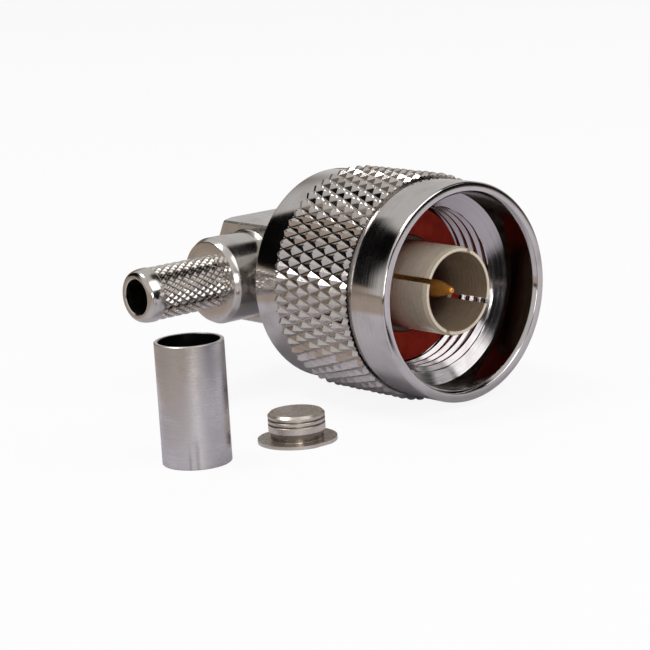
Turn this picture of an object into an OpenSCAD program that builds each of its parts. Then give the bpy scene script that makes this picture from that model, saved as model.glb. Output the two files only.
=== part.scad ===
// Right-angle coaxial crimp plug with a 5/8-24 coupling nut, laid on its nut,
// with the crimp sleeve and the screw-in end cap of the same kit beside it.
// The nut's axis lies along Y, with the open mating end at Y = 0 facing -Y.
// The cable stem points along -X. Depths are measured along +Y from the mating end.

/* [Coupling nut] */
// Diameter over the nut's knurl
knurl_d = 21.2; // [20.6:0.1:26]
// Outside diameter of the nut's two smooth bands
band_d = 20.2; // [19.8:0.1:24.2]
// Length of the coupling nut
nut_length = 17.95; // [15:0.05:22]
// Thickness of the wall round the plain mouth
mouth_wall = 1.07; // [0.8:0.01:1.3]
// Depth of the plain mouth before the thread's lead-in
mouth_depth = 3.78; // [3:0.02:4.8]
// Width of the bevel inside the mouth's edge
mouth_bevel = 0.26; // [0.1:0.02:0.5]
// Length of the bevel inside the mouth's edge
mouth_bevel_length = 0.39; // [0.1:0.01:0.6]
// Angle of the thread's lead-in cone, from the nut's face
lead_in_angle = 30; // [20:1:40]
// Major diameter of the coupling thread
thread_d = 15.875; // [15.2:0.005:16.1]
// Height of one thread flank, from crest to root
thread_height = 0.49; // [0.4:0.01:0.55]
// Length of the smooth band in front of the knurl
front_band = 4.3; // [3:0.1:5]
// Length of the smooth band behind the knurl
rear_band = 3.3; // [1.5:0.1:4]
// Width of the groove between the front band and the knurl
band_groove_width = 0.4; // [0.2:0.05:0.8]
// Depth of the groove between the front band and the knurl
band_groove_depth = 0.3; // [0.1:0.05:0.4]
// Edge bevel of the nut's two outside rims
nut_rim_bevel = 0.12; // [0.05:0.01:0.3]
// Axial play of the nut on the body
nut_play = 0.15; // [0.1:0.01:0.2]

/* [Retaining ring] */
// Thickness of the retaining ring along the axis
ring_thickness = 1; // [0.8:0.05:1.2]
// Distance from the ring's rear face to the nut's rear end
ring_inset = 2.45; // [1.5:0.05:3]
// How far the ring stands out of the body's barrel
ring_stand_out = 0.8; // [0.5:0.05:0.9]
// How far the ring sits into the body's barrel
ring_sink = 0.65; // [0.4:0.05:0.8]
// Opening of the split in the ring
ring_split = 3; // [1:0.5:5]

/* [Gasket] */
// Depth of the gasket's front face behind the mating end
gasket_depth = 8.23; // [7.6:0.01:8.6]
// Thickness of the gasket
gasket_thickness = 1.2; // [0.8:0.05:1.6]
// Clearance between the gasket and the thread's crests
gasket_thread_gap = 0.15; // [0.05:0.05:0.4]
// Clearance between the gasket and the outer contact
gasket_contact_gap = 0.1; // [0.05:0.05:0.3]

/* [Body] */
// Diameter of the round barrel that the nut turns on
barrel_d = 13.6; // [12.6:0.1:16.4]
// Radial running clearance of the nut on the barrel
nut_turn_gap = 0.06; // [0.03:0.01:0.09]
// Height of the front flange above the barrel
flange_step = 0.35; // [0.2:0.05:0.5]
// Thickness of the front flange
flange_thickness = 1; // [0.8:0.05:1.2]
// Gap between the nut's rear end and the square block
block_gap = 0.95; // [0.5:0.05:2]
// Width of the square block across its flats
block_width = 9.8; // [9:0.1:11.8]
// Length of the square block along the nut's axis
block_length = 10.7; // [10.4:0.1:13]
// Distance from the block's front to the stem's axis
stem_setback = 6.2; // [5.8:0.1:7]
// Width of the turned bevel at the block's rear
block_bevel = 0.9; // [0.4:0.05:1.2]
// Length of the turned bevel at the block's rear
block_bevel_length = 0.75; // [0.3:0.05:1]
// Diameter of the access hole that the end cap closes
access_hole_d = 5.1; // [4.4:0.05:6]
// Depth of the access hole, down to its seat for the cap
access_hole_depth = 2.6; // [2.4:0.05:2.9]
// Width of the seat between the access hole and the cavity
access_seat = 0.45; // [0.4:0.05:0.6]
// Edge bevel at the mouth of the access hole
access_bevel = 0.2; // [0.05:0.05:0.4]

/* [Outer contact] */
// Outside diameter of the slotted outer contact
contact_od = 8.2; // [7.8:0.05:8.4]
// Inside diameter of the outer contact
contact_id = 7.28; // [6.8:0.02:7.4]
// Step of the outer contact where it passes through the gasket
contact_step = 0.4; // [0.3:0.05:0.5]
// Distance from the gasket's face to that step
contact_step_lead = 0.1; // [0.05:0.05:0.3]
// Depth of the outer contact's tip behind the mating end
contact_depth = 0.98; // [0.5:0.01:2]
// Outside diameter of the outer contact's seated base
contact_base_d = 10.4; // [9.6:0.1:11]
// Length of the outer contact's seated base
contact_base_length = 3.95; // [3:0.05:5]
// Width of each spring slot
slot_width = 0.48; // [0.3:0.02:0.8]
// Length of each spring slot
slot_length = 5; // [3:0.1:6]
// Angle of the first slot, from the stem's side towards the top
slot_angle = 23.3; // [0:0.1:90]
// Width of the bevel outside the tip
tip_bevel = 0.14; // [0.05:0.01:0.25]
// Length of the bevel outside the tip
tip_bevel_length = 0.4; // [0.1:0.05:0.8]

/* [Centre contact and insulators] */
// Diameter of the centre pin
pin_d = 1.6; // [1.4:0.02:1.7]
// Depth of the pin's tip behind the mating end
pin_depth = 1.67; // [1.2:0.01:3]
// Length of the pin's tapered tip
pin_taper = 2; // [1:0.1:3]
// Diameter of the small flat at the pin's tip
pin_flat_d = 0.3; // [0.1:0.05:0.6]
// Diameter of the pin's root, where it passes through the front insulator
pin_root_d = 2.4; // [2.3:0.05:2.5]
// Length of the root in front of the insulator
pin_root_lead = 0.15; // [0.05:0.05:0.5]
// Diameter of the contact's shoulder between the insulators
shoulder_d = 3; // [2.6:0.1:3.6]
// Diameter of the contact's rear post
post_d = 2.3; // [1.8:0.1:2.5]
// Distance that the rear post reaches past the stem's axis
post_reach = 1.5; // [0.8:0.1:2]
// Width of the solder slot in the rear post
solder_slot_width = 1; // [0.8:0.05:1.2]
// Length of the solder slot in the rear post
solder_slot_length = 2.4; // [1.5:0.1:3]
// Length of the front insulator
front_insulator_length = 3.6; // [3:0.1:4.5]
// Thickness of the front insulator's web round the pin
insulator_web = 1; // [0.6:0.1:1.5]
// Length of the rear insulator
rear_insulator_length = 4.8; // [3:0.1:6]
// Radial allowance of pieces pressed into a bore
press_gap = 0.01; // [0:0.005:0.03]

/* [Crimp stem] */
// Width of the flare where the collar meets the block
collar_flare = 0.2; // [0.05:0.05:0.25]
// Length of the flare where the collar meets the block
collar_flare_length = 0.5; // [0.2:0.1:1]
// How far the stem stands out from the block's face
stem_length = 13.78; // [12:0.02:17]
// Length of the collar against the block
collar_length = 5.02; // [4:0.02:6.1]
// Diameter of the collar
collar_d = 8.4; // [7.6:0.1:10]
// Width of the bevel round the collar's face
collar_bevel = 0.33; // [0.1:0.01:0.5]
// Length of the bevel round the collar's face
collar_bevel_length = 0.6; // [0.2:0.05:1]
// Diameter of the knurled tube under the crimp
crimp_d = 5.1; // [4.8:0.02:6.2]
// Diameter of the smooth nose
nose_d = 5.2; // [4.8:0.02:6.2]
// Length of the smooth nose
nose_length = 1.6; // [1.2:0.05:2.2]
// Diameter of the rounded nose's end
nose_end_d = 4.1; // [3.8:0.05:4.6]
// Length of the rounding at the nose
nose_round_length = 1.35; // [0.8:0.05:1.8]
// Diameter of the bore for the cable's insulated core
stem_bore = 3.38; // [2.8:0.02:3.6]
// Diameter of the spigot pressed into the block
spigot_d = 5.6; // [4.6:0.1:6]
// Wall left between the spigot and the cavity
spigot_wall = 0.35; // [0.2:0.05:1]

/* [End cap] */
// Diameter of the cap's thin flange
cap_flange_d = 7.05; // [6.4:0.05:8.6]
// Width across the two trimmed sides of the flange
cap_flange_width = 6.8; // [6.2:0.05:8.6]
// Thickness of the cap's flange
cap_flange = 0.3; // [0.2:0.02:0.6]
// Height of the whole cap
cap_height = 2.65; // [2.2:0.05:3.4]
// Clearance of the cap's plug in the access hole
cap_gap = 0.02; // [0.01:0.01:0.05]
// Depth of the neck between the plug and the flange
cap_neck_depth = 0.18; // [0.05:0.01:0.3]
// Length of the neck between the plug and the flange
cap_neck_length = 0.75; // [0.4:0.05:1]
// Bevel round the cap's top
cap_bevel = 0.22; // [0.1:0.02:0.4]
// Number of grooves turned in the plug
cap_groove_count = 2; // [1:1:3]
// Spacing of the grooves turned in the plug
cap_groove_pitch = 0.42; // [0.3:0.02:0.5]
// Depth of the grooves turned in the plug
cap_groove_depth = 0.1; // [0.04:0.01:0.16]
// Distance of the cap from the nut's axis, towards the stem's side
cap_side = 17.6; // [17:0.1:24]
// Distance of the cap behind the mating end
cap_back = 3.8; // [0:0.1:6]

/* [Crimp sleeve] */
// Gap between the stem's knurl and the sleeve, for the cable's braid
braid_gap = 0.1; // [0.1:0.01:0.4]
// Wall thickness of the crimp sleeve
sleeve_wall = 0.36; // [0.3:0.02:0.7]
// Length of the crimp sleeve
sleeve_length = 10.7; // [9:0.1:14]
// Edge bevel of the crimp sleeve's rims
sleeve_bevel = 0.06; // [0.02:0.01:0.1]
// Distance of the sleeve from the nut's axis, towards the stem's side
sleeve_side = 27.5; // [26.5:0.1:38]
// Distance of the sleeve behind the mating end
sleeve_back = 5.4; // [-2:0.1:6]

/* [Hidden] */
$fn = 96;
// Length that a cut runs past the face it opens
over = 1;

knurl_r = knurl_d / 2;
band_r = band_d / 2;
floor_z = -knurl_r;
mouth_r = band_r - mouth_wall;
thread_root_r = thread_d / 2;
thread_crest_r = thread_root_r - thread_height;
lead_in_end = mouth_depth + (mouth_r - thread_crest_r) * tan(lead_in_angle);

barrel_r = barrel_d / 2;
flange_r = barrel_r + flange_step;
flange_front = gasket_depth + gasket_thickness;
flange_back = flange_front + flange_thickness;
nut_shoulder = flange_back + nut_play;
nut_bore_r = barrel_r + nut_turn_gap;
relief_r = max(thread_root_r, flange_r) + nut_play;
// The thread stops this far ahead of the flange
thread_run_out = 0.25;
thread_end = flange_front - thread_run_out;

// Space left round the retaining ring in its two grooves
ring_gap = 0.1;
ring_back = nut_length - ring_inset;
ring_front = ring_back - ring_thickness;
ring_inner_r = barrel_r - ring_sink;
ring_outer_r = barrel_r + ring_stand_out;

block_front = nut_length + block_gap;
block_half = block_width / 2;
body_back = block_front + block_length;
stem_axis = block_front + stem_setback;
access_r = access_hole_d / 2;
access_seat_depth = body_back - access_hole_depth;
cavity_r = access_r - access_seat;
spigot_start = access_r + spigot_wall;
spigot_r = spigot_d / 2;

contact_bore_r = contact_id / 2;
contact_r = contact_od / 2;
contact_base_r = contact_base_d / 2;
contact_root_r = contact_r + contact_step;
contact_root_depth = gasket_depth - contact_step_lead;
contact_base_back = flange_front + contact_base_length;

// Web of metal between the insulator's seat and the stem's hole
seat_web = 0.3;
insulator_seat = stem_axis - spigot_r - seat_web;
rear_insulator_front = insulator_seat - rear_insulator_length;
front_insulator_back = contact_base_back;
front_insulator_front = front_insulator_back - front_insulator_length;
shoulder_front = front_insulator_front + insulator_web;
insulator_r = contact_bore_r - press_gap;
pin_r = pin_d / 2;
pin_root_r = pin_root_d / 2;
pin_root_depth = front_insulator_front - pin_root_lead;
shoulder_r = shoulder_d / 2;
post_r = post_d / 2;
post_back = stem_axis + post_reach;

crimp_r = crimp_d / 2;
stem_end = block_half + stem_length;
collar_end = block_half + collar_length;
nose_start = stem_end - nose_length;
nose_round_start = stem_end - nose_round_length;

plug_r = access_r - cap_gap;
sleeve_bore_r = crimp_r + braid_gap;
sleeve_r = sleeve_bore_r + sleeve_wall;

// Turns an outline of [radius, depth] points about the nut's axis
module turned(points) {
    rotate([-90, 0, 0]) rotate_extrude() polygon(points);
}

// Turns an outline of [radius, distance] points about the stem's axis
module turned_on_stem(points) {
    translate([0, stem_axis, 0]) rotate([0, -90, 0]) rotate_extrude() polygon(points);
}

// A plain round space on the nut's axis, from one depth to another
module round_space(radius, from, to) {
    rotate([-90, 0, 0]) translate([0, 0, from]) cylinder(r = radius, h = to - from);
}

// A plain round space on the stem's axis, from one distance to another
module side_space(radius, from, to) {
    translate([0, stem_axis, 0]) rotate([0, -90, 0]) translate([0, 0, from])
        cylinder(r = radius, h = to - from);
}

// Coupling nut: one turned piece, its thread cut to the crests and its knurl left plain
module coupling_nut() {
    groove_r = band_r - band_groove_depth;
    knurl_start = front_band + band_groove_width;
    knurl_end = nut_length - rear_band;
    ring_groove_r = ring_outer_r + ring_gap;
    color("silver") turned([
        [mouth_r + mouth_bevel, 0], [band_r - nut_rim_bevel, 0], [band_r, nut_rim_bevel],
        [band_r, front_band], [groove_r, front_band],
        [groove_r, knurl_start], [knurl_r, knurl_start], [knurl_r, knurl_end], [band_r, knurl_end],
        [band_r, nut_length - nut_rim_bevel], [band_r - nut_rim_bevel, nut_length],
        [nut_bore_r, nut_length], [nut_bore_r, ring_back + ring_gap],
        [ring_groove_r, ring_back + ring_gap], [ring_groove_r, ring_front - ring_gap],
        [nut_bore_r, ring_front - ring_gap], [nut_bore_r, nut_shoulder],
        [relief_r, nut_shoulder], [relief_r, thread_end], [thread_crest_r, thread_end],
        [thread_crest_r, lead_in_end], [mouth_r, mouth_depth], [mouth_r, mouth_bevel_length]
    ]);
}

// Retaining ring: split spring ring that lies half in the barrel and half in the nut
module retaining_ring() {
    color("dimgray") difference() {
        turned([
            [ring_inner_r, ring_front], [ring_outer_r, ring_front],
            [ring_outer_r, ring_back], [ring_inner_r, ring_back]
        ]);
        translate([-ring_split / 2, ring_front - over, 0])
            cube([ring_split, ring_thickness + 2 * over, ring_outer_r + over]);
    }
}

// Gasket: flat silicone washer on the body's flange, round the outer contact
module gasket() {
    gasket_r = thread_crest_r - gasket_thread_gap;
    gasket_bore_r = contact_root_r + gasket_contact_gap;
    color("firebrick") turned([
        [gasket_bore_r, gasket_depth], [gasket_r, gasket_depth],
        [gasket_r, flange_front], [gasket_bore_r, flange_front]
    ]);
}

// Outline of the round bar that the body is turned from, before the flats are milled
module body_bar() {
    groove_r = ring_inner_r - ring_gap;
    turned([
        [0, flange_front], [flange_r, flange_front], [flange_r, flange_back],
        [barrel_r, flange_back], [barrel_r, ring_front - ring_gap],
        [groove_r, ring_front - ring_gap], [groove_r, ring_back + ring_gap],
        [barrel_r, ring_back + ring_gap], [barrel_r, body_back - block_bevel_length],
        [barrel_r - block_bevel, body_back], [0, body_back]
    ]);
}

// Space that the four milled flats leave: all of the barrel, then the square block
module flats_envelope() {
    front_size = 2 * (flange_r + over);
    translate([-front_size / 2, flange_front - over, -front_size / 2])
        cube([front_size, block_front - flange_front + over, front_size]);
    translate([-block_half, block_front - over, -block_half])
        cube([block_width, block_length + 2 * over, block_width]);
}

// Body: barrel and square block in one piece, bored through, with a side hole for the stem
module connector_body() {
    color("silver") difference() {
        intersection() {
            body_bar();
            flats_envelope();
        }
        round_space(contact_base_r, flange_front - over, contact_base_back);
        round_space(contact_bore_r, contact_base_back - over, insulator_seat);
        round_space(cavity_r, insulator_seat - over, access_seat_depth + over);
        round_space(access_r, access_seat_depth, body_back + over);
        turned([
            [0, body_back - access_bevel], [access_r, body_back - access_bevel],
            [access_r + access_bevel, body_back], [access_r + access_bevel, body_back + over],
            [0, body_back + over]
        ]);
        side_space(spigot_r, spigot_start, block_half + over);
        side_space(stem_bore / 2, 0, spigot_start + over);
    }
}

// Outer contact: spring sleeve with four slots, its thick base pressed into the flange
module outer_contact() {
    base_r = contact_base_r - press_gap;
    color("gainsboro") difference() {
        turned([
            [contact_bore_r, contact_depth], [contact_r - tip_bevel, contact_depth],
            [contact_r, contact_depth + tip_bevel_length], [contact_r, contact_root_depth],
            [contact_root_r, contact_root_depth], [contact_root_r, flange_front],
            [base_r, flange_front], [base_r, contact_base_back],
            [contact_bore_r, contact_base_back]
        ]);
        for (turn = [0, 90])
            rotate([0, slot_angle + turn, 0])
                translate([-contact_od, contact_depth - over, -slot_width / 2])
                    cube([2 * contact_od, slot_length + over, slot_width]);
    }
}

// Front insulator: bead inside the outer contact, with a web that the pin comes through
module front_insulator() {
    color("white") turned([
        [pin_root_r, front_insulator_front], [insulator_r, front_insulator_front],
        [insulator_r, front_insulator_back], [shoulder_r, front_insulator_back],
        [shoulder_r, shoulder_front], [pin_root_r, shoulder_front]
    ]);
}

// Rear insulator: bead in the body's bore, behind the contact's shoulder
module rear_insulator() {
    color("white") turned([
        [post_r, rear_insulator_front], [insulator_r, rear_insulator_front],
        [insulator_r, insulator_seat], [post_r, insulator_seat]
    ]);
}

// Centre contact: pin, shoulder and rear post in one piece, slotted for the cable's wire
module centre_contact() {
    color("goldenrod") difference() {
        turned([
            [0, pin_depth], [pin_flat_d / 2, pin_depth], [pin_r, pin_depth + pin_taper],
            [pin_r, pin_root_depth], [pin_root_r, pin_root_depth],
            [pin_root_r, shoulder_front], [shoulder_r, shoulder_front],
            [shoulder_r, rear_insulator_front], [post_r, rear_insulator_front],
            [post_r, post_back], [0, post_back]
        ]);
        translate([-post_d, post_back - solder_slot_length, -solder_slot_width / 2])
            cube([2 * post_d, solder_slot_length + over, solder_slot_width]);
    }
}

// Crimp stem: collar, tube and rounded nose in one piece, its spigot pressed into the block
module crimp_stem() {
    nose_r = nose_d / 2;
    nose_end_r = nose_end_d / 2;
    nose_drop = nose_r - nose_end_r;
    // Quarter of an ellipse from the nose's full width to its end
    nose_arc = [for (angle = [0:15:90])
        [nose_end_r + nose_drop * cos(angle), nose_round_start + nose_round_length * sin(angle)]];
    spigot_fit_r = spigot_r - press_gap;
    color("silver") turned_on_stem(concat(
        [
            [stem_bore / 2, spigot_start], [spigot_fit_r, spigot_start],
            [spigot_fit_r, block_half], [collar_d / 2 + collar_flare, block_half],
            [collar_d / 2, block_half + collar_flare_length],
            [collar_d / 2, collar_end - collar_bevel_length],
            [collar_d / 2 - collar_bevel, collar_end], [crimp_r, collar_end],
            [crimp_r, nose_start], [nose_r, nose_start]
        ],
        nose_arc,
        [[stem_bore / 2, stem_end]]
    ));
}

// End cap: turned plug with a thin trimmed flange, lying flange down
module end_cap() {
    neck_r = plug_r - cap_neck_depth;
    neck_top = cap_flange + cap_neck_length;
    grooves_top = cap_height - cap_bevel;
    // Half a pitch of full width, then half a pitch of groove, repeated down from the bevel
    plug_side = [for (i = [cap_groove_count - 1:-1:0])
        let (z = grooves_top - (i + 1) * cap_groove_pitch)
            each [[plug_r, z], [plug_r - cap_groove_depth, z + cap_groove_pitch / 4],
                  [plug_r, z + cap_groove_pitch / 2]]];
    color("silver") translate([-cap_side, cap_back, floor_z]) {
        intersection() {
            cylinder(d = cap_flange_d, h = cap_flange);
            translate([-cap_flange_d / 2, -cap_flange_width / 2, 0])
                cube([cap_flange_d, cap_flange_width, cap_flange]);
        }
        rotate_extrude() polygon(concat(
            [[0, 0], [neck_r, 0], [neck_r, neck_top], [plug_r, neck_top]],
            plug_side,
            [[plug_r, grooves_top], [plug_r - cap_bevel, cap_height], [0, cap_height]]
        ));
    }
}

// Crimp sleeve: plain tube that is slid over the stem and crushed, standing on its end
module crimp_sleeve() {
    color("silver") translate([-sleeve_side, sleeve_back, floor_z]) rotate_extrude() polygon([
        [sleeve_bore_r + sleeve_bevel, 0], [sleeve_r - sleeve_bevel, 0], [sleeve_r, sleeve_bevel],
        [sleeve_r, sleeve_length - sleeve_bevel], [sleeve_r - sleeve_bevel, sleeve_length],
        [sleeve_bore_r + sleeve_bevel, sleeve_length], [sleeve_bore_r, sleeve_length - sleeve_bevel],
        [sleeve_bore_r, sleeve_bevel]
    ]);
}

coupling_nut();
retaining_ring();
gasket();
connector_body();
outer_contact();
front_insulator();
rear_insulator();
centre_contact();
crimp_stem();
end_cap();
crimp_sleeve();
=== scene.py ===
import math
import random

import bmesh
import bpy
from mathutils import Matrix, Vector


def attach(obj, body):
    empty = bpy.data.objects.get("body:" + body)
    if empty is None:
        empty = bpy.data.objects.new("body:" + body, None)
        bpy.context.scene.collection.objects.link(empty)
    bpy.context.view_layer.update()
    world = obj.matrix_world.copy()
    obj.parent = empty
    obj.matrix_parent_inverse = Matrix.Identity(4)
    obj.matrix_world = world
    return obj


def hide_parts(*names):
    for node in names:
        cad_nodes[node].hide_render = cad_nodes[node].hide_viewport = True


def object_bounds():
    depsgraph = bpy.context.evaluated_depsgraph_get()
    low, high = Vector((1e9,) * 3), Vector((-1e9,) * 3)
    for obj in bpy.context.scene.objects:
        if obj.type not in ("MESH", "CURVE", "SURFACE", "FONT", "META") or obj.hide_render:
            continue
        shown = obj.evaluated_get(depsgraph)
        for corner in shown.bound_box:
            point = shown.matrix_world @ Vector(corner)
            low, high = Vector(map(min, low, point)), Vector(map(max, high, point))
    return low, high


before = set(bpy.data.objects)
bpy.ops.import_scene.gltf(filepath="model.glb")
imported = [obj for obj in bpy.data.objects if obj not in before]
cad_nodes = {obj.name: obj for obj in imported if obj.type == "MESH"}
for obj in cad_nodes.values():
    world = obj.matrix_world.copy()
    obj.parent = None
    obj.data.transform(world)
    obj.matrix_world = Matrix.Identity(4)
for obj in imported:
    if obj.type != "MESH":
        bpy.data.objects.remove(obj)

cad_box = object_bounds()
scene = bpy.context.scene

# ---------------------------------------------------------------------------
# Camera
# A long lens a little above the surface, looking into the nut's mouth with the
# cable stem to the left. It has no shift and no depth of field.
# ---------------------------------------------------------------------------
camera_data = bpy.data.cameras.new("camera")
camera_data.sensor_width = 36
camera_data.lens = 127.76
camera_data.clip_start = 0.01
camera_data.clip_end = 20
camera = bpy.data.objects.new("camera", camera_data)
camera.location = (-0.141616, -0.148809, 0.041187)
camera.rotation_euler = [math.radians(turn) for turn in (78.029, 3.392, -40.694)]
scene.collection.objects.link(camera)
scene.camera = camera

# ---------------------------------------------------------------------------
# Coupling nut
# Turned in one piece from brass bar, screw-cut inside, rolled with a diamond
# knurl between two smooth bands, then plated with bright nickel. It is held on
# the body by a hidden spring ring and turns freely.
# ---------------------------------------------------------------------------
MM = 0.001
TURN = 2 * math.pi

band_radius = 10.1
nut_length = 17.95
front_band_end = 4.3
knurl_start = 4.7
knurl_end = 14.65
knurl_crest = 10.6
groove_radius = 9.8
mouth_radius = 9.03
mouth_depth = 3.78
thread_crest = 7.448
thread_root = 7.938
thread_pitch = 1.058
thread_end = 9.18
lead_in_slope = math.tan(math.radians(30))
plain_face, diamond_face, thread_face, wall_face = range(4)


def round_nut_axis(radius, depth, angle):
    """A point beside the nut's axis; the angle turns from the stem's side to the top."""
    return Vector((-radius * math.cos(angle), depth, radius * math.sin(angle))) * MM


def even_angles(count):
    return [TURN * step / count for step in range(count)]


def ring(bm, place, radius, along, angles):
    """One closed ring of (angle, vertex) pairs."""
    return [(angle, bm.verts.new(place(radius, along, angle))) for angle in angles]


def stitch(bm, low, high, material=0):
    """Joins two closed rings, with quads where their angles match and triangles where not."""
    i = j = 0
    while i < len(low) or j < len(high):
        next_low, next_high = low[(i + 1) % len(low)], high[(j + 1) % len(high)]
        angle_low = next_low[0] + TURN * ((i + 1) // len(low))
        angle_high = next_high[0] + TURN * ((j + 1) // len(high))
        here, there = low[i % len(low)][1], high[j % len(high)][1]
        if i < len(low) and j < len(high) and abs(angle_low - angle_high) < 1e-6:
            corners = (here, next_low[1], next_high[1], there)
            i, j = i + 1, j + 1
        elif j >= len(high) or (i < len(low) and angle_low < angle_high):
            corners = (here, next_low[1], there)
            i += 1
        else:
            corners = (here, next_high[1], there)
            j += 1
        if len(set(corners)) > 2:
            bm.faces.new(corners).material_index = material


def eased(outline, size):
    """An outline of (radius, along) points with each corner eased off, as tumbling leaves it."""
    smooth = []
    for n, point in enumerate(outline):
        here = Vector(point)
        if n in (0, len(outline) - 1):
            smooth.append(tuple(here))
            continue
        back, ahead = Vector(outline[n - 1]) - here, Vector(outline[n + 1]) - here
        into = here + back.normalized() * min(size, back.length * 0.4)
        out = here + ahead.normalized() * min(size, ahead.length * 0.4)
        smooth += [tuple(into), tuple((into + out) / 4 + here / 2), tuple(out)]
    return smooth


def turned(bm, place, outline, angles, material=0):
    """Turns an open outline about an axis and returns its first and last rings."""
    rings = [ring(bm, place, radius, along, angles) for radius, along in outline]
    for low, high in zip(rings, rings[1:]):
        stitch(bm, low, high, material)
    return rings[0], rings[-1]


def knurled(bm, place, start, end, crest, depth, around, pitch, land, seed, material):
    """Rolled diamonds with narrow flat grooves between them. Returns the skin's two edge rings.
    They are drawn flat, one unit to a diamond, cut to length, and then rolled up."""
    phase = 0.3   # how far into a diamond the knurl starts
    base = 0.91   # a diamond's foot, as a share of its cell
    flat = bmesh.new()
    wear = random.Random(seed)
    rows = (end - start) / pitch
    corners = ((0.5, 0), (0, 0.5), (-0.5, 0), (0, -0.5))
    for row in range(-1, int(2 * (rows + phase)) + 3):
        for column in range(around):
            middle = column + (row % 2) / 2, row / 2
            rise = crest - wear.uniform(0, 0.06) * depth
            groove, valley = [[flat.verts.new((middle[0] + x * size, middle[1] + y * size,
                                               crest - depth)) for x, y in corners]
                              for size in (1, base)]
            top = [flat.verts.new((middle[0] + x * land, middle[1] + y * land,
                                   rise - wear.uniform(0, 0.05) * depth)) for x, y in corners]
            flat.faces.new(top)
            for n in range(4):
                m = (n + 1) % 4
                flat.faces.new((groove[n], groove[m], valley[m], valley[n]))
                flat.faces.new((valley[n], valley[m], top[m], top[n]))
    for level, way in ((phase, -1), (phase + rows, 1)):
        bmesh.ops.bisect_plane(
            flat, geom=flat.verts[:] + flat.edges[:] + flat.faces[:],
            plane_co=(0, level, 0), plane_no=(0, way, 0), clear_outer=True)
    made, edges = {}, ({}, {})

    def lifted(vertex):
        u, v, radius = vertex.co
        key = round(u % around, 3) % around, round(v, 3), round(radius, 4)
        if key not in made:
            angle = TURN * (u % around) / around
            along = start + (v - phase) / rows * (end - start)
            made[key] = bm.verts.new(place(radius, along, angle))
            for edge, level in zip(edges, (phase, phase + rows)):
                if abs(v - level) < 1e-4:
                    edge[key[0]] = (TURN * key[0] / around, made[key])
        return made[key]

    for face in flat.faces:
        found = []
        for vertex in face.verts:
            new = lifted(vertex)
            if new not in found:
                found.append(new)
        if len(found) > 2:
            bm.faces.new(found).material_index = material
    flat.free()
    return [[edge[key] for key in sorted(edge)] for edge in edges]


def finished(bm, name, body, node, materials, faceted=None):
    """Makes the piece from its mesh, smooth but for its real edges and the faces of the faceted
    material, and fixes it to its body."""
    bmesh.ops.remove_doubles(bm, verts=bm.verts, dist=2e-6)
    bmesh.ops.dissolve_degenerate(bm, edges=bm.edges, dist=1e-6)
    bmesh.ops.recalc_face_normals(bm, faces=bm.faces)
    mesh = bpy.data.meshes.new(name)
    bm.to_mesh(mesh)
    bm.free()
    mesh.shade_smooth()
    mesh.set_sharp_from_angle(angle=math.radians(38))
    for face in mesh.polygons:
        face.use_smooth = face.material_index != faceted
    for material in materials:
        mesh.materials.append(material)
    piece = bpy.data.objects.new(name, mesh)
    scene.collection.objects.link(piece)
    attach(piece, body)
    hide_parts(node)


def linear(code):
    """An sRGB hex colour as the linear colour that a shader takes."""
    parts = [int(code[n:n + 2], 16) / 255 for n in (1, 3, 5)]
    return [c / 12.92 if c <= 0.04045 else ((c + 0.055) / 1.055) ** 2.4 for c in parts] + [1]


def node(tree, kind, links=(), **settings):
    """Adds one node, sets its properties or inputs by name, and links (input, source socket)."""
    new = tree.nodes.new("ShaderNode" + kind)
    for key, value in settings.items():
        if hasattr(new, key):
            setattr(new, key, value)
        else:
            new.inputs[key.replace("_", " ")].default_value = value
    for socket, source in links:
        tree.links.new(source, new.inputs[socket])
    return new


def blank_material(name):
    material = bpy.data.materials.new(name)
    material.use_nodes = True
    material.node_tree.nodes.clear()
    return material, material.node_tree


def ramp(tree, source, stops):
    """A colour ramp of (position, hex colour) stops."""
    new = node(tree, "ValToRGB", [("Fac", source)])
    points = new.color_ramp.elements
    points[0].position, points[0].color = stops[0][0], linear(stops[0][1])
    points[1].position, points[1].color = stops[-1][0], linear(stops[-1][1])
    for position, code in stops[1:-1]:
        points.new(position).color = linear(code)
    return new.outputs["Color"]


def mixed(tree, amount, first, second):
    """Mixes two colours, each a socket or a linear colour, by an amount socket."""
    amount_input, first_input, second_input, colour_output = 0, 6, 7, 2
    new = node(tree, "Mix", [(amount_input, amount)], data_type="RGBA")
    for index, source in ((first_input, first), (second_input, second)):
        if isinstance(source, list):
            new.inputs[index].default_value = source
        else:
            tree.links.new(source, new.inputs[index])
    return new.outputs[colour_output]


def edge(tree, source, start, end, amount=1.0):
    """Rises smoothly from 0 to an amount as the source goes from start to end."""
    return node(tree, "MapRange", [("Value", source)], From_Min=start, From_Max=end,
                To_Max=amount, interpolation_type="SMOOTHSTEP").outputs[0]


def product(tree, first, second):
    return node(tree, "Math", [(0, first), (1, second)], operation="MULTIPLY").outputs[0]


def scaled(tree, source, factor):
    new = node(tree, "Math", [(0, source)], operation="MULTIPLY")
    new.inputs[1].default_value = factor
    return new.outputs[0]


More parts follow.
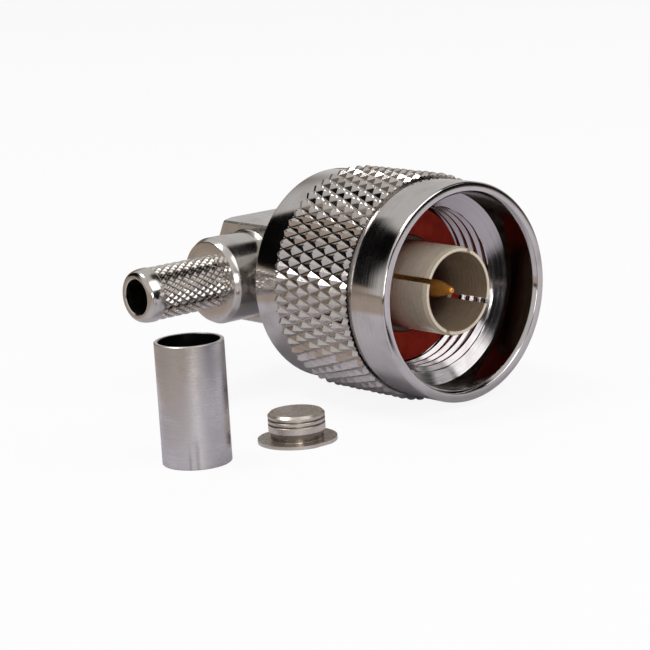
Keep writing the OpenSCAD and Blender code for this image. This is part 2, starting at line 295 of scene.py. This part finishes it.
def lathe_coordinates(tree, centre, axis):
    """(radius, along, angle) in metres and turns about an axis of the part, as value sockets."""
    place = node(tree, "TexCoord").outputs["Object"]
    moved = node(tree, "VectorMath", [(0, place)], operation="SUBTRACT")
    moved.inputs[1].default_value = [c * MM for c in centre]
    apart = node(tree, "SeparateXYZ", [(0, moved.outputs[0])])
    across = [socket for socket in "XYZ" if socket != axis]
    squares = [node(tree, "Math", [(0, apart.outputs[c]), (1, apart.outputs[c])],
                    operation="MULTIPLY").outputs[0] for c in across]
    total = node(tree, "Math", [(0, squares[0]), (1, squares[1])], operation="ADD")
    radius = node(tree, "Math", [(0, total.outputs[0])], operation="SQRT").outputs[0]
    angle = node(tree, "Math", [(0, apart.outputs[across[0]]), (1, apart.outputs[across[1]])],
                 operation="ARCTAN2").outputs[0]
    return radius, apart.outputs[axis], angle, place


def turned_metal(name, colour, stain, roughness, centre=(0, 0, 0), axis="Y", line=0.16,
                 line_height=0.004, painted_recess_shade=None, patchy=0.35, metallic=1.0, extra=None):
    """Plated turned metal. Fine tool lines run round the axis, the plate's shine varies in
    soft patches a few millimetres across, and stain gathers in some of them. The lines of a
    real lathe tool are about 0.05 mm apart, and most are drawn coarser here so that they show.
    Painted recess shade is (low, high, colour, amount): shade painted in below one radius and
    faded out between two radii in mm. Extra is a function that adds a piece's own marks or
    painted shade to the colour."""
    material, tree = blank_material(name)
    radius, along, angle, place = lathe_coordinates(tree, centre, axis)
    lines = node(tree, "CombineXYZ", [(0, scaled(tree, radius, 1 / (line * MM))),
                                      (1, scaled(tree, along, 1 / (line * MM))),
                                      (2, scaled(tree, angle, 0.35))])
    tool = node(tree, "TexNoise", [("Vector", lines.outputs[0])], Scale=1.0, Detail=2.0,
                Roughness=0.6).outputs["Fac"]
    cloud = node(tree, "TexNoise", [("Vector", place)], Scale=330.0, Detail=3.0,
                 Roughness=0.55).outputs["Fac"]
    speck = node(tree, "TexNoise", [("Vector", place)], Scale=4200.0, Detail=2.0,
                 Roughness=0.7).outputs["Fac"]
    stained = node(tree, "MapRange", [("Value", cloud)], From_Min=0.5, From_Max=0.72,
                   To_Min=0.0, To_Max=patchy).outputs[0]
    shade = mixed(tree, stained, linear(colour), linear(stain))
    scored = node(tree, "MapRange", [("Value", tool)], From_Min=0.35, From_Max=0.7,
                  To_Min=0.0, To_Max=0.22).outputs[0]
    shade = mixed(tree, scored, shade, linear(stain))
    if painted_recess_shade:
        low, high, recess_shade_colour, amount = painted_recess_shade
        # Painted shade: darkens the surface below a radius, standing for shade in grooves and
        # bores.
        depth = node(tree, "MapRange", [("Value", radius)], From_Min=low * MM, From_Max=high * MM,
                     To_Min=amount, To_Max=0.0, interpolation_type="SMOOTHSTEP").outputs[0]
        shade = mixed(tree, depth, shade, linear(recess_shade_colour))
    if extra:
        shade = extra(tree, along, angle, shade)
    rough = node(tree, "Math", [(0, cloud), (1, tool)], operation="ADD").outputs[0]
    rough = node(tree, "MapRange", [("Value", rough)], From_Min=0.7, From_Max=1.3,
                 To_Min=roughness * 0.6, To_Max=roughness * 1.6).outputs[0]
    bump = node(tree, "Bump", [("Height", tool)], Strength=0.35, Distance=line_height * MM)
    fine = node(tree, "Bump", [("Height", speck), ("Normal", bump.outputs[0])], Strength=0.25,
                Distance=0.003 * MM)
    shader = node(tree, "BsdfPrincipled", [("Base Color", shade), ("Roughness", rough),
                                           ("Normal", fine.outputs[0])], Metallic=metallic)
    node(tree, "OutputMaterial", [("Surface", shader.outputs[0])])
    return material


# Bright nickel on turned brass: a warm grey mirror, softened by the tool lines under it.
bright_nickel = turned_metal("bright_nickel", "#d4d1cf", "#a39a94", 0.1)
# The same plate on the rolled diamonds, with painted shade darkening the grooves.
knurled_nickel = turned_metal("knurled_nickel", "#d5d1cd", "#a0948b", 0.1,
                              painted_recess_shade=(10.25, 10.33, "#7a6c62", 0.4))
# The plate on the mouth's plain wall, painted dark as shade: a shaded copy of the nickel.
mouth_shade_nickel = turned_metal("mouth_nickel_painted_shade", "#6a605a", "#51463f", 0.1, line=0.22)
# The same plate in the thread and its lead-in, streaked by the boring tool.
bored_nickel = turned_metal("bored_nickel", "#c3bfc0", "#948b8c", 0.13, line=0.16,
                            line_height=0.012)

nut_angles = even_angles(288)
nut_mesh = bmesh.new()

# From inside the mouth over the front face and the front band to the groove
face_and_band = eased([
    (mouth_radius, mouth_depth), (mouth_radius, 0.39), (mouth_radius + 0.26, 0),
    (band_radius - 0.12, 0), (band_radius, 0.12), (band_radius, front_band_end - 0.1),
    (band_radius + 0.02, front_band_end), (groove_radius, front_band_end + 0.03),
    (groove_radius, knurl_start)], 0.05)
mouth_ring, groove_ring = turned(nut_mesh, round_nut_axis, face_and_band, nut_angles)
for face in nut_mesh.faces:
    inner = min((v.co.x ** 2 + v.co.z ** 2) ** 0.5 for v in face.verts)
    if inner < (mouth_radius + 0.001) * MM:
        face.material_index = wall_face

# The knurl's diamonds, long and narrow, with small flat lands at their tops
knurl_front, knurl_rear = knurled(
    nut_mesh, round_nut_axis, knurl_start, knurl_end, knurl_crest, depth=0.34, around=60,
    pitch=3.0, land=0.12, seed=7, material=diamond_face)
stitch(nut_mesh, groove_ring, knurl_front)

# The rear band, the bore on the barrel with its ring groove, and the relief behind the thread
rear = eased([
    (band_radius, knurl_end), (band_radius, nut_length - 0.12), (band_radius - 0.12, nut_length),
    (6.86, nut_length), (6.86, 15.6), (7.7, 15.6), (7.7, 14.4), (6.86, 14.4), (6.86, 10.58),
    (8.09, 10.58), (8.09, thread_end)], 0.05)
rear_start, relief_ring = turned(nut_mesh, round_nut_axis, rear, nut_angles)
stitch(nut_mesh, knurl_rear, rear_start, diamond_face)

# The 5/8-24 thread, cut away at the mouth by a 30 degree lead-in
steps_per_turn = 24
thread_rows = int((thread_end - mouth_depth) / thread_pitch * steps_per_turn) + 2
thread_rows += 2 * steps_per_turn


def thread_radius(turns):
    """Radius of the thread's surface: flat crests, 60 degree flanks, narrow roots."""
    crest_share, flank_share = 0.25, 0.625
    place_in_pitch = abs((turns % 1) - 0.5) * 2
    rise = (place_in_pitch - crest_share) / flank_share
    return thread_crest + (thread_root - thread_crest) * min(max(rise, 0), 1)


columns = []
for angle in nut_angles:
    turn = angle / TURN
    column = []
    for row in range(thread_rows):
        turns = row / steps_per_turn
        depth = mouth_depth + thread_pitch * (turns + turn - 1)
        depth = min(max(depth, mouth_depth), thread_end)
        turns = (depth - mouth_depth) / thread_pitch - turn + 1
        cone = mouth_radius - (depth - mouth_depth) / lead_in_slope
        radius = max(thread_radius(turns), cone)
        column.append(nut_mesh.verts.new(round_nut_axis(radius, depth, angle)))
    columns.append(column)
for n, column in enumerate(columns):
    last = n == len(columns) - 1
    neighbour = columns[0][steps_per_turn:] if last else columns[n + 1]
    neighbour = neighbour + [neighbour[-1]] * (len(column) - len(neighbour))
    for row in range(len(column) - 1):
        corners = []
        for vertex in (column[row], column[row + 1], neighbour[row + 1], neighbour[row]):
            if all((vertex.co - other.co).length > 1e-7 for other in corners):
                corners.append(vertex)
        if len(corners) > 2:
            nut_mesh.faces.new(corners).material_index = thread_face
thread_front = [(angle, column[0]) for angle, column in zip(nut_angles, columns)]
thread_rear = [(angle, column[-1]) for angle, column in zip(nut_angles, columns)]
stitch(nut_mesh, thread_front, mouth_ring, thread_face)
stitch(nut_mesh, relief_ring, thread_rear, thread_face)
finished(nut_mesh, "coupling_nut_detailed", "nut", "coupling_nut",
         [bright_nickel, knurled_nickel, bored_nickel, mouth_shade_nickel], faceted=diamond_face)


def coated(name, material):
    """Gives a CAD node its finish."""
    mesh = cad_nodes[name].data
    mesh.materials.clear()
    mesh.materials.append(material)


coated("retaining_ring", turned_metal("spring_steel", "#8a8a8e", "#4a453f", 0.3))

# ---------------------------------------------------------------------------
# Gasket
# A flat washer punched from red silicone rubber sheet. It is matt, with a fine
# grain and a little dust, and sits on the body's flange round the outer contact.
# ---------------------------------------------------------------------------
silicone, tree = blank_material("red_silicone_rubber")
place = node(tree, "TexCoord").outputs["Object"]
dust = node(tree, "TexNoise", [("Vector", place)], Scale=900.0, Detail=4.0).outputs["Fac"]
grain = node(tree, "TexNoise", [("Vector", place)], Scale=9000.0, Detail=2.0).outputs["Fac"]
red = ramp(tree, dust, [(0.3, "#93200f"), (0.55, "#ab2a17"), (0.8, "#bd3722")])
bump = node(tree, "Bump", [("Height", grain)], Strength=0.3, Distance=0.01 * MM)
shader = node(tree, "BsdfPrincipled", [("Base Color", red), ("Normal", bump.outputs[0])],
              Roughness=0.75, IOR=1.41)
node(tree, "OutputMaterial", [("Surface", shader.outputs[0])])
coated("gasket", silicone)

# ---------------------------------------------------------------------------
# Body
# Round bar turned for the nut and the ring, with four flats milled behind, drilled
# for the contact and cross-drilled for the stem. Bright nickel over milled faces,
# whose edges are eased by tumbling.
# ---------------------------------------------------------------------------


def tumbled(name, width):
    """Eases a CAD node's sharp edges, as tumbling before plating does."""
    bevel = cad_nodes[name].modifiers.new("tumbled_edges", "BEVEL")
    bevel.width = width * MM
    bevel.segments = 2
    bevel.limit_method = "ANGLE"
    bevel.angle_limit = math.radians(50)
    bevel.harden_normals = True


body_nickel = turned_metal("milled_nickel", "#d1cfcc", "#a0978e", 0.2, line=0.3,
                           line_height=0.006, patchy=0.3)
coated("connector_body", body_nickel)
tumbled("connector_body", 0.07)

# ---------------------------------------------------------------------------
# Outer contact
# Thin spring sleeve turned from hard brass, slit in four, and plated with white
# bronze, which is paler than nickel and hardly tarnishes. It is pressed into the
# body's flange.
# ---------------------------------------------------------------------------


def gasket_shade(tree, along, angle, shade):
    """Painted shade that darkens the sleeve towards where it comes out of the gasket."""
    return mixed(tree, edge(tree, along, 4.4 * MM, 7.6 * MM, 0.95), shade, linear("#3d1a10"))


# Painted shade darkens the contact's inside, below radius 3.66 mm, and gasket_shade darkens it
# towards the gasket.
white_bronze = turned_metal("white_bronze_plate", "#f7ead2", "#dccaac", 0.26, line=0.05,
                            line_height=0.0005, painted_recess_shade=(3.66, 3.72, "#7a6248", 0.75),
                            patchy=0.15, metallic=0.35, extra=gasket_shade)
coated("outer_contact", white_bronze)
tumbled("outer_contact", 0.03)

# ---------------------------------------------------------------------------
# Insulators
# Two beads turned from PTFE rod, which is waxy and white and lets a little light
# in. The front one shows at the bottom of the outer contact, round the pin.
# ---------------------------------------------------------------------------
ptfe, tree = blank_material("turned_ptfe")
radius, along, angle, place = lathe_coordinates(tree, (0, 0, 0), "Y")
turning = node(tree, "CombineXYZ", [(0, scaled(tree, radius, 5000)),
                                    (1, scaled(tree, along, 5000)),
                                    (2, scaled(tree, angle, 0.5))])
marks = node(tree, "TexNoise", [("Vector", turning.outputs[0])], Scale=1.0, Detail=2.0)
white = ramp(tree, marks.outputs["Fac"], [(0.3, "#dcd8cc"), (0.7, "#efece4")])
bump = node(tree, "Bump", [("Height", marks.outputs["Fac"])], Strength=0.3, Distance=0.01 * MM)
shader = node(tree, "BsdfPrincipled", [("Base Color", white), ("Normal", bump.outputs[0])],
              Roughness=0.45, IOR=1.35, Subsurface_Weight=0.15, Subsurface_Scale=0.0005)
node(tree, "OutputMaterial", [("Surface", shader.outputs[0])])
coated("front_insulator", ptfe)
coated("rear_insulator", ptfe)

# ---------------------------------------------------------------------------
# Centre contact
# Pin, shoulder and solder post turned in one piece from brass and gold plated over
# nickel. The pin's nose is rounded so that it finds the jack's socket.
# ---------------------------------------------------------------------------
gold = turned_metal("gold_plate", "#ffb65a", "#c07c30", 0.2, line=0.12, patchy=0.3,
                    metallic=0.7)
pin_angles = even_angles(64)
pin_mesh = bmesh.new()
pin_outline = [(0.02, 1.67), (0.13, 1.68), (0.24, 1.76), (0.34, 1.95), (0.5, 2.5), (0.68, 3.15),
               (0.76, 3.5), (0.795, 3.8), (0.8, 4.1), (0.8, 9.63), (1.2, 9.63), (1.2, 10.78),
               (1.5, 10.78), (1.5, 17.2), (1.15, 17.2), (1.15, 26.5), (1.05, 26.6), (0.02, 26.6)]
tip_ring, post_ring = turned(pin_mesh, round_nut_axis, pin_outline, pin_angles)
for end in (tip_ring, post_ring):
    pin_mesh.faces.new([vertex for angle, vertex in end])
finished(pin_mesh, "centre_contact_detailed", "plug", "centre_contact", [gold])

# ---------------------------------------------------------------------------
# Crimp stem
# Collar, tube and rounded nose turned in one piece and pressed into the body's side.
# A fine diamond knurl on the tube bites the cable's braid under the crimp sleeve.
# ---------------------------------------------------------------------------
stem_depth = 25.1


def round_stem_axis(radius, along, angle):
    """A point beside the stem's axis; the angle turns from the mating side to the top."""
    return Vector((-along, stem_depth - radius * math.cos(angle), radius * math.sin(angle))) * MM


stem_angles = even_angles(144)
stem_mesh = bmesh.new()
collar = eased([
    (1.69, 10.0), (1.69, 2.9), (2.79, 2.9), (2.79, 4.9), (4.4, 4.9), (4.26, 5.08), (4.2, 5.4),
    (4.2, 9.32), (3.87, 9.92), (2.42, 9.92)], 0.06)
bore_ring, collar_ring = turned(stem_mesh, round_stem_axis, collar, stem_angles)
crimp_front, crimp_rear = knurled(
    stem_mesh, round_stem_axis, 9.92, 17.08, 2.55, depth=0.17, around=24, pitch=0.935,
    land=0.25, seed=11, material=diamond_face)
stitch(stem_mesh, collar_ring, crimp_front, diamond_face)
nose = [(2.5, 17.08), (2.57, 17.1), (2.6, 17.16)]
nose_steps = 8
for step in range(nose_steps + 1):
    swing = math.pi / 2 * step / nose_steps
    nose.append((2.14 + 0.46 * math.cos(swing) ** 0.9, 17.33 + 1.3 * math.sin(swing)))
nose += [(2.05, 18.68), (1.78, 18.68), (1.7, 18.6), (1.69, 18.4)]
nose_ring, tube_ring = turned(stem_mesh, round_stem_axis, nose, stem_angles)
stitch(stem_mesh, crimp_rear, nose_ring, diamond_face)
stitch(stem_mesh, tube_ring, bore_ring)
stem_nickel = turned_metal("stem_nickel", "#d7d4cf", "#9f948a", 0.15, centre=(0, stem_depth, 0),
                           axis="X", line=0.12)
# Painted shade darkens the crimp knurl's grooves.
crimp_nickel = turned_metal("crimp_nickel", "#e0dcd7", "#a3968b", 0.12,
                            centre=(0, stem_depth, 0), axis="X", line=0.12,
                            painted_recess_shade=(2.385, 2.43, "#5a4e45", 0.7))
finished(stem_mesh, "crimp_stem_detailed", "plug", "crimp_stem",
         [stem_nickel, crimp_nickel], faceted=diamond_face)

# ---------------------------------------------------------------------------
# End cap
# Small turned plug with a thin flange trimmed on two sides, loose on the surface.
# Satin nickel, with two fine turned grooves near its free end.
# ---------------------------------------------------------------------------
floor = cad_box[0].z / MM
cap_place = (-17.6, 3.8, floor)


def neck_shade(tree, along, angle, shade):
    """Painted shade: dark brown bands on the neck and in the two grooves."""
    soft = 0.03
    for low, high in ((0.33, 1.02), (1.62, 1.7), (2.04, 2.12)):
        band = product(tree, edge(tree, along, (low - soft) * MM, (low + soft) * MM, 0.8),
                       edge(tree, along, (high + soft) * MM, (high - soft) * MM))
        shade = mixed(tree, band, shade, linear("#5b4c40"))
    return shade


cap_nickel = turned_metal("cap_satin_nickel", "#d8d0c5", "#a09284", 0.24, centre=cap_place,
                          axis="Z", line=0.06, line_height=0.001, patchy=0.2, metallic=0.9,
                          extra=neck_shade)
coated("end_cap", cap_nickel)
tumbled("end_cap", 0.04)

# ---------------------------------------------------------------------------
# Crimp sleeve
# Thin-walled tube drawn from soft brass, cut to length and satin nickel plated. It
# stands loose on its end, its cut rim slightly uneven.
# ---------------------------------------------------------------------------
sleeve_place = (-27.5, 5.4, floor)


def rust_streaks(tree, along, angle, shade):
    """Two faint brown runs up from the lower rim, where the bare cut edge has stained."""
    fade = 2.4
    for middle, width, top in ((-2.52, 0.1, 3.6), (-2.3, 0.06, 2.6)):
        apart = node(tree, "Math", [(0, angle)], operation="SUBTRACT")
        apart.inputs[1].default_value = middle
        apart = node(tree, "Math", [(0, apart.outputs[0])], operation="ABSOLUTE").outputs[0]
        run = product(tree, edge(tree, apart, width, 0.0, 0.4),
                      edge(tree, along, top * MM, (top - fade) * MM))
        shade = mixed(tree, run, shade, linear("#7d5a4c"))
    return shade


# Painted shade makes the sleeve's bore near black, below radius 2.66 mm.
sleeve_nickel = turned_metal("sleeve_satin_nickel", "#d6d4d4", "#a39a96", 0.28,
                             centre=sleeve_place, axis="Z", line=0.05, line_height=0.0004,
                             patchy=0.2, painted_recess_shade=(2.66, 2.75, "#14110f", 0.97),
                             extra=rust_streaks)
coated("crimp_sleeve", sleeve_nickel)

# ---------------------------------------------------------------------------
# Floor, lamps and room
# A pale studio table under three small soft lamps. The bright plating mirrors the
# table round the part, and a pale room with dark, brown and white cards in it.
# ---------------------------------------------------------------------------
sweep, tree = blank_material("pale_sweep")
path = node(tree, "LightPath")
place = node(tree, "TexCoord").outputs["Object"]
spread = node(tree, "VectorMath", [(0, place)], operation="LENGTH").outputs["Value"]
# Distances from the part, in metres, at which the pale middle and its brown ring end
pale_end, brown_end = (0.045, 0.055), (0.133, 0.143)
table = mixed(tree, edge(tree, spread, *pale_end), linear("#d0cdd5"), linear("#b5a89e"))
# Past the ring the table is dark, but brown again behind the part and to its left
behind = node(tree, "VectorMath", [(0, place)], operation="DOT_PRODUCT")
behind.inputs[1].default_value = (-0.47, 0.88, 0)
far = mixed(tree, edge(tree, behind.outputs["Value"], 0.05, 0.09), linear("#171413"),
            linear("#b3a598"))
table = mixed(tree, edge(tree, spread, *brown_end), table, far)
# A long dark card in front of the mouth: one over its half sizes, and its shift in them
dark_card = node(tree, "VectorMath", [(0, place)], operation="MULTIPLY_ADD")
dark_card.inputs[1].default_value = (33, 14.5, 0)
dark_card.inputs[2].default_value = (-0.17, 1.32, 0)
from_dark = node(tree, "VectorMath", [(0, dark_card.outputs[0])], operation="LENGTH")
table = mixed(tree, edge(tree, from_dark.outputs["Value"], 1.05, 0.95), table, linear("#171413"))
# A round pale card to the right of the mouth
pale_card = node(tree, "VectorMath", [(0, place)], operation="SUBTRACT")
pale_card.inputs[1].default_value = (0.052, -0.056, 0)
from_pale = node(tree, "VectorMath", [(0, pale_card.outputs[0])], operation="LENGTH")
table = mixed(tree, edge(tree, from_pale.outputs["Value"], 0.049, 0.041), table,
              linear("#dad7df"))
table = mixed(tree, path.outputs["Is Camera Ray"], table, linear("#f0edf3"))
paint = node(tree, "BsdfDiffuse", [("Color", table)])
glow = node(tree, "Emission", Color=linear("#ffffff"), Strength=1.0)
share = scaled(tree, path.outputs["Is Camera Ray"], 0.9)
both = node(tree, "MixShader", [(0, share), (1, paint.outputs[0]), (2, glow.outputs[0])])
node(tree, "OutputMaterial", [("Surface", both.outputs[0])])
reach = 3
ground = bpy.data.meshes.new("floor")
ground.from_pydata([(x * reach, y * reach, floor * MM)
                    for x, y in ((-1, -1), (1, -1), (1, 1), (-1, 1))], [], [(0, 1, 2, 3)])
ground.materials.append(sweep)
ground_piece = bpy.data.objects.new("floor", ground)
scene.collection.objects.link(ground_piece)


def soft_lamp(name, place, width, height, power):
    """A soft rectangular lamp, aimed at the part, with its sizes in metres."""
    target = (0, 0.01, 0)
    lamp = bpy.data.lights.new(name, "AREA")
    lamp.shape = "RECTANGLE"
    lamp.size, lamp.size_y, lamp.energy = width, height, power
    holder = bpy.data.objects.new(name, lamp)
    holder.location = place
    aim = Vector(target) - Vector(place)
    holder.rotation_euler = aim.to_track_quat("-Z", "Y").to_euler()
    scene.collection.objects.link(holder)


soft_lamp("lamp_above_left", (-0.19, 0.2, 0.56), 0.18, 0.18, 1.2)
soft_lamp("lamp_front", (0.04, -0.33, 0.34), 0.42, 0.36, 0.9)
soft_lamp("lamp_beside_camera", (-0.21, -0.34, 0.05), 0.12, 0.12, 0.25)

world = bpy.data.worlds.new("studio")
scene.world = world
world.use_nodes = True
tree = world.node_tree
tree.nodes.clear()
way = node(tree, "TexCoord").outputs["Generated"]
path = node(tree, "LightPath")
parts = node(tree, "SeparateXYZ", [(0, way)]).outputs
bearing = node(tree, "Math", [(0, parts["Y"]), (1, parts["X"])], operation="ARCTAN2").outputs[0]
bearing = scaled(tree, bearing, 360 / TURN)
height = node(tree, "Math", [(0, parts["Z"])], operation="ARCSINE").outputs[0]
height = scaled(tree, height, 360 / TURN)


def round_card(side, rise, inner, outer):
    """1 within inner degrees of a direction of the room, falling to 0 at outer degrees."""
    side, rise = math.radians(side), math.radians(rise)
    facing = node(tree, "VectorMath", [(0, way)], operation="DOT_PRODUCT")
    facing.inputs[1].default_value = (math.cos(side) * math.cos(rise),
                                      math.sin(side) * math.cos(rise), math.sin(rise))
    return node(tree, "MapRange", [("Value", facing.outputs["Value"])],
                From_Min=math.cos(math.radians(outer)), From_Max=math.cos(math.radians(inner)),
                interpolation_type="SMOOTHSTEP").outputs[0]


def panel(right, left, low, high, soft, foot):
    """1 on an upright panel between two bearings and two heights, soft but for its foot."""
    sides = product(tree, edge(tree, bearing, right - soft, right + soft),
                    edge(tree, bearing, left + soft, left - soft))
    return product(tree, sides, product(tree, edge(tree, height, high + soft, high - soft),
                                        edge(tree, height, low - foot, low + foot)))


room = linear("#cfcdcc")
room = mixed(tree, round_card(-70, 10, 35, 55), room, linear("#0c0b0b"))
room = mixed(tree, round_card(-15, 52, 12, 24), room, linear("#141210"))
room = mixed(tree, round_card(-42, 34, 5, 9), room, linear("#ffffff"))
room = mixed(tree, panel(58, 100, -4, 28, 8, 4), room, linear("#75685e"))
room = mixed(tree, panel(98, 140, -4, 10, 2.5, 1.2), room, linear("#a3968a"))
room = mixed(tree, panel(98, 140, 4.5, 46, 2.5, 1.2), room, linear("#080707"))
seen = node(tree, "Background", [("Color", room)], Strength=1.0)
white = node(tree, "Background", Color=linear("#ffffff"), Strength=1.0)
pick = node(tree, "MixShader", [(0, path.outputs["Is Camera Ray"]), (1, seen.outputs[0]),
                                (2, white.outputs[0])])
node(tree, "OutputWorld", [("Surface", pick.outputs[0])])
scene.view_settings.view_transform = "Standard"
